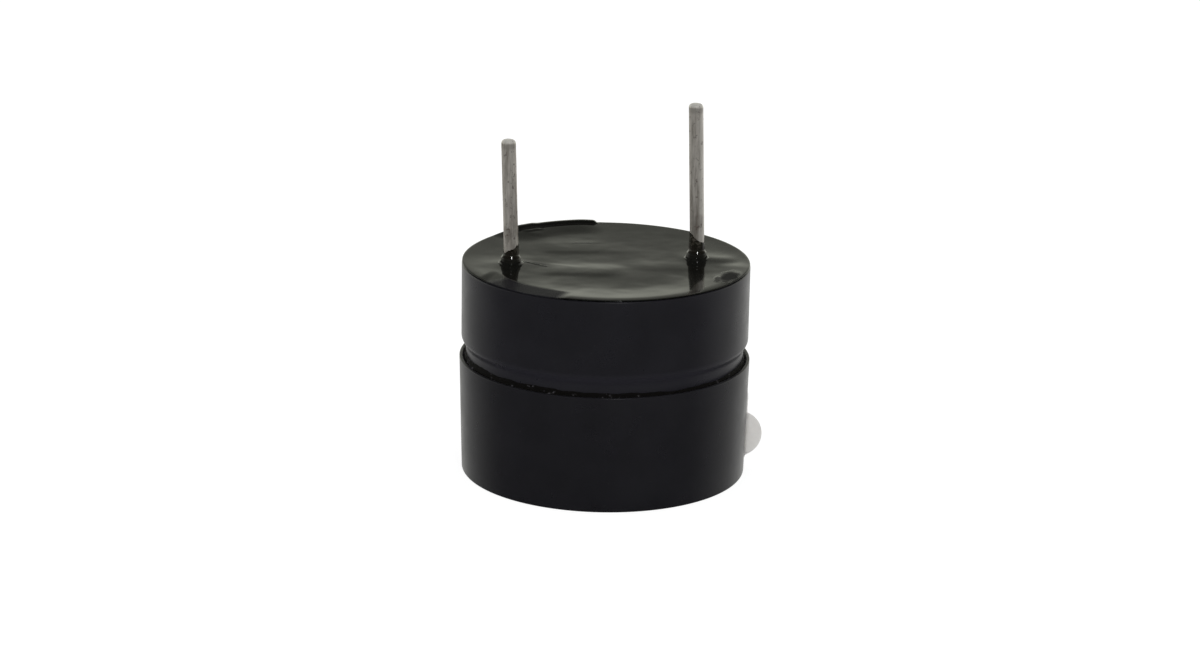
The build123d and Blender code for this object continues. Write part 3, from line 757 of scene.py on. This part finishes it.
def resin_height(x, y):
    """Height of the top of the resin, in millimetres."""
    away = math.hypot(x, y)
    angle = math.degrees(math.atan2(y, x)) % 360
    reach, width, drop = resin_edge(angle)
    level = rim_level(angle, away, reach)
    for form in SWELLINGS:
        level += swelling(x, y, *form)
    forward = y if y < 0 else math.tanh(y)
    level -= 0.0095 * forward * ease((-x - 3.9) / 1.0) + 0.007 * forward * ease((x - 4.2) / 0.8)
    level += 0.005 * y
    level += climb(x, y, POSITIVE_STAND, 0.88, -0.18, 1.0)
    level += climb(x, y, NEGATIVE_STAND, 0.66, 0.12, 4.0)
    calm = 1 - 0.8 * ease((away - 4.6) / 0.8)
    level += 0.004 * calm * noise.noise(Vector((0.7 * x, 0.7 * y, 4.0)))
    level += 0.0012 * calm * noise.noise(Vector((1.9 * x, 1.9 * y, 7.0)))
    inside = (reach - away) / width
    if inside < 1:
        level -= drop * (1 - math.sqrt(max(0.0, 1 - (1 - inside) ** 2)))
    return level


def plan_points():
    """Plan of the resin's top: even rings, finer at the rim and the pins."""
    rim_count = 400
    points = []
    edge_shares = (1.0, 0.985, 0.94, 0.86, 0.75, 0.6, 0.42, 0.22)
    for share in edge_shares:
        for step in range(rim_count):
            angle = 360 * step / rim_count
            reach, width, drop = resin_edge(angle)
            radius = reach - width * (1 - share)
            turn = math.radians(angle)
            points.append((radius * math.cos(turn), radius * math.sin(turn)))
    loops = [list(range(rim_count))]
    pin_rings = (HOLE_RADIUS, 0.3181, 0.3215, 0.325, 0.329, 0.333, 0.336, 0.34, 0.35, 0.36)
    pin_rings += (0.37, 0.38, 0.39, 0.398, 0.403, 0.408, 0.413, 0.419, 0.426, 0.434)
    pin_rings += (0.443, 0.453, 0.463, 0.475, 0.49, 0.51, 0.54, 0.59, 0.65)
    pin_count = 72
    for side in STANDS:
        loops.append(list(range(len(points), len(points) + pin_count)))
        for radius in pin_rings:
            for step in range(pin_count):
                turn = math.tau * step / pin_count
                points.append((side + radius * math.cos(turn), radius * math.sin(turn)))
    spacing = 0.07
    for row in range(1, 96):
        radius = row * spacing if row < 74 else 74 * spacing + (row - 74) * 0.03
        count = max(6, round(math.tau * radius / spacing * (1.0 if row < 74 else 0.8)))
        for step in range(count):
            turn = math.tau * (step + 0.5 * (row % 2)) / count
            x, y = radius * math.cos(turn), radius * math.sin(turn)
            reach, width, drop = resin_edge(math.degrees(turn) % 360)
            if radius > reach - width - 0.03:
                continue
            if min(math.hypot(x - side, y) for side in STANDS) < 0.72:
                continue
            points.append((x, y))
    return points, loops


def middle_of(verts, face):
    """Middle of a triangle in a plan."""
    return sum((verts[corner] for corner in face), Vector((0, 0))) / 3


def in_hole(spot, sides):
    """Whether a point of the plan is inside a pin's hole."""
    return min(math.hypot(spot.x - side, spot.y) for side in sides) < HOLE_RADIUS - 0.001


def potted_resin():
    """Closed body: the levelled top, the rim, the pocket and the hollows."""
    points, loops = plan_points()
    edges = []
    for loop in loops:
        edges += list(zip(loop, loop[1:] + loop[:1]))
    flat = [Vector(point) for point in points]
    verts, _, faces, _, _, _ = delaunay_2d_cdt(flat, edges, [], 0, 1e-7)
    bm = bmesh.new()
    top = [bm.verts.new((spot.x, spot.y, resin_height(spot.x, spot.y))) for spot in verts]
    for face in faces:
        on_rim = all(corner < len(loops[0]) for corner in face)
        if not on_rim and not in_hole(middle_of(verts, face), STANDS):
            bm.faces.new([top[corner] for corner in face])
    rim = [top[corner] for corner in loops[0]]
    rim_count = len(rim)
    under = []
    for step, corner in enumerate(rim):
        angle = math.tau * step / rim_count
        reach = math.hypot(corner.co.x, corner.co.y)
        radius = min(reach, 5.825)
        under.append(bm.verts.new((radius * math.cos(angle), radius * math.sin(angle), RIM_LAND)))
    band(bm, under, rim)
    lip = ring(bm, POCKET_RADIUS, RIM_LAND, count=rim_count)
    foot = ring(bm, POCKET_RADIUS, RESIN_FLOOR, count=rim_count)
    band(bm, lip, under)
    band(bm, foot, lip)
    floor_loops = [foot]
    for loop, side in zip(loops[1:], (PIN_X, -PIN_X)):
        hole = ring(bm, HOLE_RADIUS, RESIN_FLOOR, side, 0.0, len(loop))
        band(bm, hole, [top[corner] for corner in loop])
        floor_loops.append(hole)
    hollow = [
        ring(bm, radius, height, COIL[0], COIL[1], 96)
        for radius, height in (
            (COIL_RADIUS, RESIN_FLOOR), (COIL_RADIUS, 7.5), (COIL_WAIST, 7.5),
            (COIL_WAIST, 8.25), (COIL_RADIUS, 8.25), (COIL_RADIUS, 8.55),
        )
    ]
    for lower, upper in zip(hollow, hollow[1:]):
        band(bm, lower, upper)
    bm.faces.new(hollow[-1])
    floor_loops.append(hollow[0])
    corners = [corner for loop in floor_loops for corner in loop]
    edges = []
    start = 0
    for loop in floor_loops:
        index = list(range(start, start + len(loop)))
        edges += list(zip(index, index[1:] + index[:1]))
        start += len(loop)
    flat = [Vector((corner.co.x, corner.co.y)) for corner in corners]
    verts, _, faces, _, _, _ = delaunay_2d_cdt(flat, edges, [], 0, 1e-7)
    for face in faces:
        middle = middle_of(verts, face)
        in_coil = math.hypot(middle.x - COIL[0], middle.y - COIL[1]) < COIL_RADIUS - 0.0015
        if not in_coil and not in_hole(middle, (PIN_X, -PIN_X)):
            bm.faces.new([corners[corner] for corner in face])
    return mesh_object("poured_resin", bm, 50)


resin = potted_resin()
resin_finish = Finish("poured_resin_gloss", (0.0055, 0.0056, 0.0048), 0.07)
film = resin_finish.clouds(0.8, 3.0)
sheen = resin_finish.ramp(film, (0.35, 0.05), (0.7, 0.11))
tone = resin_finish.ramp(film, (0.3, (0.0045, 0.0046, 0.004)), (0.75, (0.0085, 0.0086, 0.0075)))
shine = (0.5, 0.5, 0.5)
for centre, half, turn, strength, soft in (
    ((4.55, -2.95), (1.1, 0.55), 68, 0.6, 0.6),
    ((4.0, -3.2), (0.6, 0.2), 75, 0.4, 0.6),
    ((-2.95, -0.2), (0.72, 0.09), -43, 0.45, 0.25),
    ((-0.55, 2.75), (0.5, 0.05), -5, 0.4, 0.25),
):
    scab = resin_finish.patch(centre, half, turn, 0.3, 3.0, soft)
    sheen = resin_finish.mixed(scab, sheen, (strength,) * 3)
    shine = resin_finish.mixed(scab, shine, (0.12, 0.12, 0.12))
    tone = resin_finish.mixed(scab, tone, (0.012, 0.0115, 0.012))
    resin_finish.relief(scab, 0.01, 0.6)
away, turn = resin_finish.round_axis()
outside = resin_finish.ramp(away, (4.84, 0.0), (4.98, 1.0), reach=6.0)
sector = resin_finish.ramp(turn, (0.066, 0.0), (0.08, 1.0), (0.171, 1.0), (0.18, 0.0))
dulled = resin_finish.mixed(1.0, outside, sector, "MULTIPLY")
sheen = resin_finish.mixed(dulled, sheen, (0.27, 0.27, 0.27))
shine = resin_finish.mixed(dulled, shine, (0.03, 0.03, 0.03))
tone = resin_finish.mixed(dulled, tone, (0.0100, 0.0098, 0.0120))
for side in STANDS:
    drawn = resin_finish.patch((side, 0.0), (0.44, 0.44), 0, 0.15, 6.0)
    tone = resin_finish.mixed(drawn, tone, (0.010, 0.0088, 0.0058))
    shine = resin_finish.mixed(drawn, shine, (0.9, 0.9, 0.9))
thin = resin_finish.ramp(resin_finish.clouds(5.5, 3.0, 0.6), (0.5, 0.0), (0.62, 1.0))
sleeve_height = resin_finish.ramp(resin_finish.span("Z", 9.15, 9.7), (0.1, 0.0), (0.8, 1.0))
thin = resin_finish.mixed(1.0, thin, sleeve_height, "MULTIPLY")
tone = resin_finish.mixed(thin, tone, (0.06, 0.052, 0.04))
sheen = resin_finish.mixed(thin, sheen, (0.35, 0.35, 0.35))
resin_finish.feed("Specular IOR Level", shine)
resin_finish.feed("Roughness", sheen)
resin_finish.feed("Base Color", tone)
resin_finish.relief(resin_finish.clouds(3.0, 2.0), 0.0006, 0.5)
resin_finish.on(resin)
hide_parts("potting_resin")
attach(resin, "root")

# ---- Wash seal
# A pale plastic film stuck over the side port for board washing. Its front
# edge has a half-round pull ear, folded out from the wall.
FILM_THICKNESS = 0.08
FILM_WIDTH = 5.52
FILM_LOW = 0.2
FILM_HIGH = 3.15
FILM_CORNER = 0.5
EAR_RADIUS = 0.975
EAR_SINK = 0.265
EAR_HEIGHT = 1.365
EAR_AZIMUTH = math.radians(-6.45)
FOLD_RADIUS = 0.07
FILM_GAP = 0.004
FILM_GRID = 0.07


def wall_radius(height):
    """Radius of the cap's drafted wall at a height."""
    return 5.86 + 0.0243 * height


def film_outline():
    """Flat cut of the film: along from the fold, and height."""
    edge = []
    for centre, start in (
        ((FILM_WIDTH - FILM_CORNER, FILM_LOW + FILM_CORNER), -90),
        ((FILM_WIDTH - FILM_CORNER, FILM_HIGH - FILM_CORNER), 0),
        ((FILM_CORNER, FILM_HIGH - FILM_CORNER), 90),
    ):
        edge += arc(centre, FILM_CORNER, start, start + 90, 8)
    half = math.degrees(math.acos(EAR_SINK / EAR_RADIUS))
    turn_in = (2 - math.pi / 2) * FOLD_RADIUS
    for step in range(41):
        angle = math.radians(180 - half + 2 * half * step / 40)
        out = EAR_SINK + EAR_RADIUS * math.cos(angle)
        edge.append((out + turn_in * ease(-out / 0.2), EAR_HEIGHT + EAR_RADIUS * math.sin(angle)))
    return edge + arc((FILM_CORNER, FILM_LOW + FILM_CORNER), FILM_CORNER, 180, 270, 8)


def film_place(along, height, lift):
    """Point of the film in space: on the wall, round the fold, or in the ear."""
    base = wall_radius(height)
    azimuth = EAR_AZIMUTH + max(0.0, along) / base
    if along >= FOLD_RADIUS:
        radius = base + FILM_GAP + lift
        return Vector((radius * math.cos(azimuth), radius * math.sin(azimuth), height))
    azimuth = EAR_AZIMUTH + FOLD_RADIUS / base
    outward = Vector((math.cos(azimuth), math.sin(azimuth), 0))
    forward = Vector((math.sin(azimuth), -math.cos(azimuth), 0))
    run = FOLD_RADIUS - along
    turn = min(run / FOLD_RADIUS, math.pi / 2)
    straight = max(0.0, run - FOLD_RADIUS * math.pi / 2)
    spot = (base + FILM_GAP) * outward + forward * FOLD_RADIUS * math.sin(turn)
    spot += outward * (FOLD_RADIUS * (1 - math.cos(turn)) + straight)
    facing = outward * math.cos(turn) - forward * math.sin(turn)
    sway = forward * 0.05 * straight * straight
    return spot + sway + facing * lift + Vector((0, 0, height))


def inside_outline(spot, outline):
    """Even-odd test of a flat point against a closed outline."""
    inside = False
    for first, second in zip(outline, outline[1:] + outline[:1]):
        if (first[1] > spot[1]) != (second[1] > spot[1]):
            share = (spot[1] - first[1]) / (second[1] - first[1])
            cross = first[0] + share * (second[0] - first[0])
            inside ^= spot[0] < cross
    return inside


def cut_film():
    """Film with both faces and its cut edge, laid round the wall."""
    outline = film_outline()
    points = list(outline)
    for column in range(-11, 80):
        for row in range(42):
            spot = (
                FILM_GRID / 2 + column * FILM_GRID,
                FILM_LOW + FILM_GRID / 2 + row * FILM_GRID,
            )
            near = min(math.dist(spot, other) for other in outline)
            if near > 0.04 and inside_outline(spot, outline):
                points.append(spot)
    count = len(outline)
    edges = [(step, (step + 1) % count) for step in range(count)]
    flat = [Vector(point) for point in points]
    verts, _, faces, _, _, _ = delaunay_2d_cdt(flat, edges, [], 0, 1e-7)
    bm = bmesh.new()
    sides = []
    for lift in (0.0, FILM_THICKNESS):
        side = [bm.verts.new(film_place(spot.x, spot.y, lift)) for spot in verts]
        sides.append(side)
        for face in faces:
            if inside_outline(middle_of(verts, face), outline):
                bm.faces.new([side[corner] for corner in face])
    for step in range(count):
        after = (step + 1) % count
        bm.faces.new((sides[0][step], sides[0][after], sides[1][after], sides[1][step]))
    return mesh_object("port_seal_film", bm, 40)


seal = cut_film()
film_finish = Finish("pale_film", (0.66, 0.66, 0.61), 0.45)
haze = film_finish.clouds(2.2, 3.0)
film_finish.tint(haze, (0.3, (0.85, 0.825, 0.785)), (0.7, (0.93, 0.905, 0.865)))
film_finish.gloss(haze, (0.3, 0.38), (0.7, 0.52))
film_finish.relief(film_finish.clouds(5.0, 2.0), 0.006, 0.4)
film_finish.shader.inputs["Subsurface Weight"].default_value = 0.6
film_finish.shader.inputs["Subsurface Radius"].default_value = (1.0, 1.0, 0.95)
film_finish.shader.inputs["Subsurface Scale"].default_value = 0.3 * MM
film_finish.on(seal)
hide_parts("wash_seal")
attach(seal, "root")

# ---- Studio
# Plain white ground, an even sky, and one soft lamp over the camera's left
# shoulder. Mirror reflections see a room that is dark on the camera's side
# and pale behind the buzzer.
LOOK = Vector((0.16356, 0.98653, 0.0))

bm = bmesh.new()
bmesh.ops.create_grid(bm, x_segments=1, y_segments=1, size=900)
for corner in bm.verts:
    corner.co.z = -0.004
ground = mesh_object("ground", bm)
paper = Finish("white_paper", (0.8, 0.8, 0.8), 0.9)
rays = paper.nodes.new("ShaderNodeLightPath")
glow = paper.nodes.new("ShaderNodeEmission")
glow.inputs["Strength"].default_value = 0.86
lit = paper.nodes.new("ShaderNodeBsdfDiffuse")
lit.inputs["Color"].default_value = (0.24, 0.24, 0.24, 1)
seen = paper.nodes.new("ShaderNodeAddShader")
clear = paper.nodes.new("ShaderNodeBsdfTransparent")
direct = paper.nodes.new("ShaderNodeMixShader")
through = paper.nodes.new("ShaderNodeMixShader")
passing = paper.nodes.new("ShaderNodeMath")
passing.operation = "MAXIMUM"
side_on = paper.nodes.new("ShaderNodeNewGeometry")
for source, target in (
    (glow.outputs[0], seen.inputs[0]),
    (lit.outputs[0], seen.inputs[1]),
    (rays.outputs["Is Camera Ray"], direct.inputs[0]),
    (paper.shader.outputs[0], direct.inputs[1]),
    (seen.outputs[0], direct.inputs[2]),
    (rays.outputs["Is Glossy Ray"], passing.inputs[0]),
    (side_on.outputs["Backfacing"], passing.inputs[1]),
    (passing.outputs[0], through.inputs[0]),
    (direct.outputs[0], through.inputs[1]),
    (clear.outputs[0], through.inputs[2]),
    (through.outputs[0], paper.nodes["Material Output"].inputs["Surface"]),
):
    paper.links.new(source, target)
paper.on(ground)

world = bpy.data.worlds.new("studio")
bpy.context.scene.world = world
world.use_nodes = True
sky = world.node_tree


def sky_node(kind, **settings):
    """Node of the world, with its settings."""
    node = sky.nodes.new(kind)
    for name, value in settings.items():
        setattr(node, name, value)
    return node


def sky_ramp(value, *stops, tint=(1, 1, 0.97)):
    """Grey by stops of (position, level), tinted."""
    steps = sky_node("ShaderNodeValToRGB")
    while len(steps.color_ramp.elements) < len(stops):
        steps.color_ramp.elements.new(0.5)
    for element, (position, level) in zip(steps.color_ramp.elements, stops):
        element.position = position
        element.color = (*(level * channel for channel in tint), 1)
    sky.links.new(value, steps.inputs["Fac"])
    return steps.outputs["Color"]


def sky_span(value, low, high, least=0.0):
    """From the least share to 1 between two values."""
    share = sky_node("ShaderNodeMapRange")
    share.inputs["From Min"].default_value = low
    share.inputs["From Max"].default_value = high
    share.inputs["To Min"].default_value = least
    sky.links.new(value, share.inputs["Value"])
    return share.outputs[0]


def sky_mix(share, first, second, blend="MIX"):
    """Two colours mixed by a value, or wholly when there is none."""
    mix = sky_node("ShaderNodeMix", data_type="RGBA", blend_type=blend)
    mix.inputs[0].default_value = 1.0
    if share:
        sky.links.new(share, mix.inputs[0])
    sky.links.new(first, mix.inputs[6])
    sky.links.new(second, mix.inputs[7])
    return mix.outputs[2]


def facing(aim):
    """0 to 1 as a direction turns from against an aim to along it."""
    along = sky_node("ShaderNodeVectorMath", operation="DOT_PRODUCT")
    along.inputs[1].default_value = aim
    sky.links.new(direction.outputs["Generated"], along.inputs[0])
    return sky_span(along.outputs["Value"], -1.0, 1.0)


direction = sky_node("ShaderNodeTexCoord")
low_room = sky_ramp(
    facing(Matrix.Rotation(math.radians(-6), 3, "Z") @ LOOK),
    (0.0, 0.03), (0.45, 0.045), (0.53, 0.12), (0.8, 0.38), (0.93, 0.66), (1.0, 1.0),
)
parts = sky_node("ShaderNodeSeparateXYZ")
sky.links.new(direction.outputs["Generated"], parts.inputs[0])
up = parts.outputs["Z"]
high_room = sky_ramp(
    up,
    (0.0, 1.0), (0.17, 0.97), (0.222, 0.72), (0.25, 0.43),
    (0.277, 0.26), (0.315, 0.17), (0.39, 0.11), (0.7, 0.07),
    tint=(0.985, 1.0, 0.895),
)
shade = sky_ramp(facing(LOOK), (0.35, 0.12), (0.55, 0.5), (0.75, 1.0))
upper = sky_mix(None, high_room, shade, "MULTIPLY")
under = sky_mix(None, low_room, sky_span(up, -0.8, -0.45, 0.1), "MULTIPLY")
room = sky_mix(sky_span(up, -0.12, 0.05), under, upper)
sky_rays = sky_node("ShaderNodeLightPath")
mirrored = sky.nodes["Background"]
sky.links.new(room, mirrored.inputs["Color"])
even = sky_node("ShaderNodeBackground")
even.inputs["Color"].default_value = (0.92, 0.92, 0.92, 1)
white = sky_node("ShaderNodeBackground")
white.inputs["Color"].default_value = (1, 1, 1, 1)
soft = sky_node("ShaderNodeMixShader")
sky.links.new(sky_rays.outputs["Is Glossy Ray"], soft.inputs[0])
sky.links.new(even.outputs[0], soft.inputs[1])
sky.links.new(mirrored.outputs[0], soft.inputs[2])
straight = sky_node("ShaderNodeMath", operation="MAXIMUM")
sky.links.new(sky_rays.outputs["Is Camera Ray"], straight.inputs[0])
sky.links.new(sky_rays.outputs["Is Transmission Ray"], straight.inputs[1])
shown = sky_node("ShaderNodeMixShader")
sky.links.new(straight.outputs[0], shown.inputs[0])
sky.links.new(soft.outputs[0], shown.inputs[1])
sky.links.new(white.outputs[0], shown.inputs[2])
sky.links.new(shown.outputs[0], sky.nodes["World Output"].inputs["Surface"])

lamp_data = bpy.data.lights.new("soft_lamp", "AREA")
lamp_data.shape = "DISK"
lamp_data.size = 0.04
lamp_data.energy = 0.13
lamp = bpy.data.objects.new("soft_lamp", lamp_data)
bpy.context.scene.collection.objects.link(lamp)
lamp.location = (0.02, -0.33, 0.36)
lamp.rotation_euler = (Vector((0, 0, 0.008)) - lamp.location).to_track_quat("-Z", "Y").to_euler()

camera_data = bpy.data.cameras.new("camera")
camera_data.sensor_width = 36.0
camera_data.lens = 100.8
camera_data.clip_start = 0.005
camera_data.clip_end = 5.0
camera = bpy.data.objects.new("camera", camera_data)
bpy.context.scene.collection.objects.link(camera)
camera.matrix_world = (
    Matrix.Translation((-0.02183, -0.13046, 0.04594))
    @ Matrix.Rotation(math.radians(-9.413), 4, "Z")
    @ Matrix.Rotation(math.radians(90 - 16.944), 4, "X")
    @ Matrix.Rotation(math.radians(1.025), 4, "Z")
)
bpy.context.scene.camera = camera
bpy.context.scene.view_settings.view_transform = "Standard"
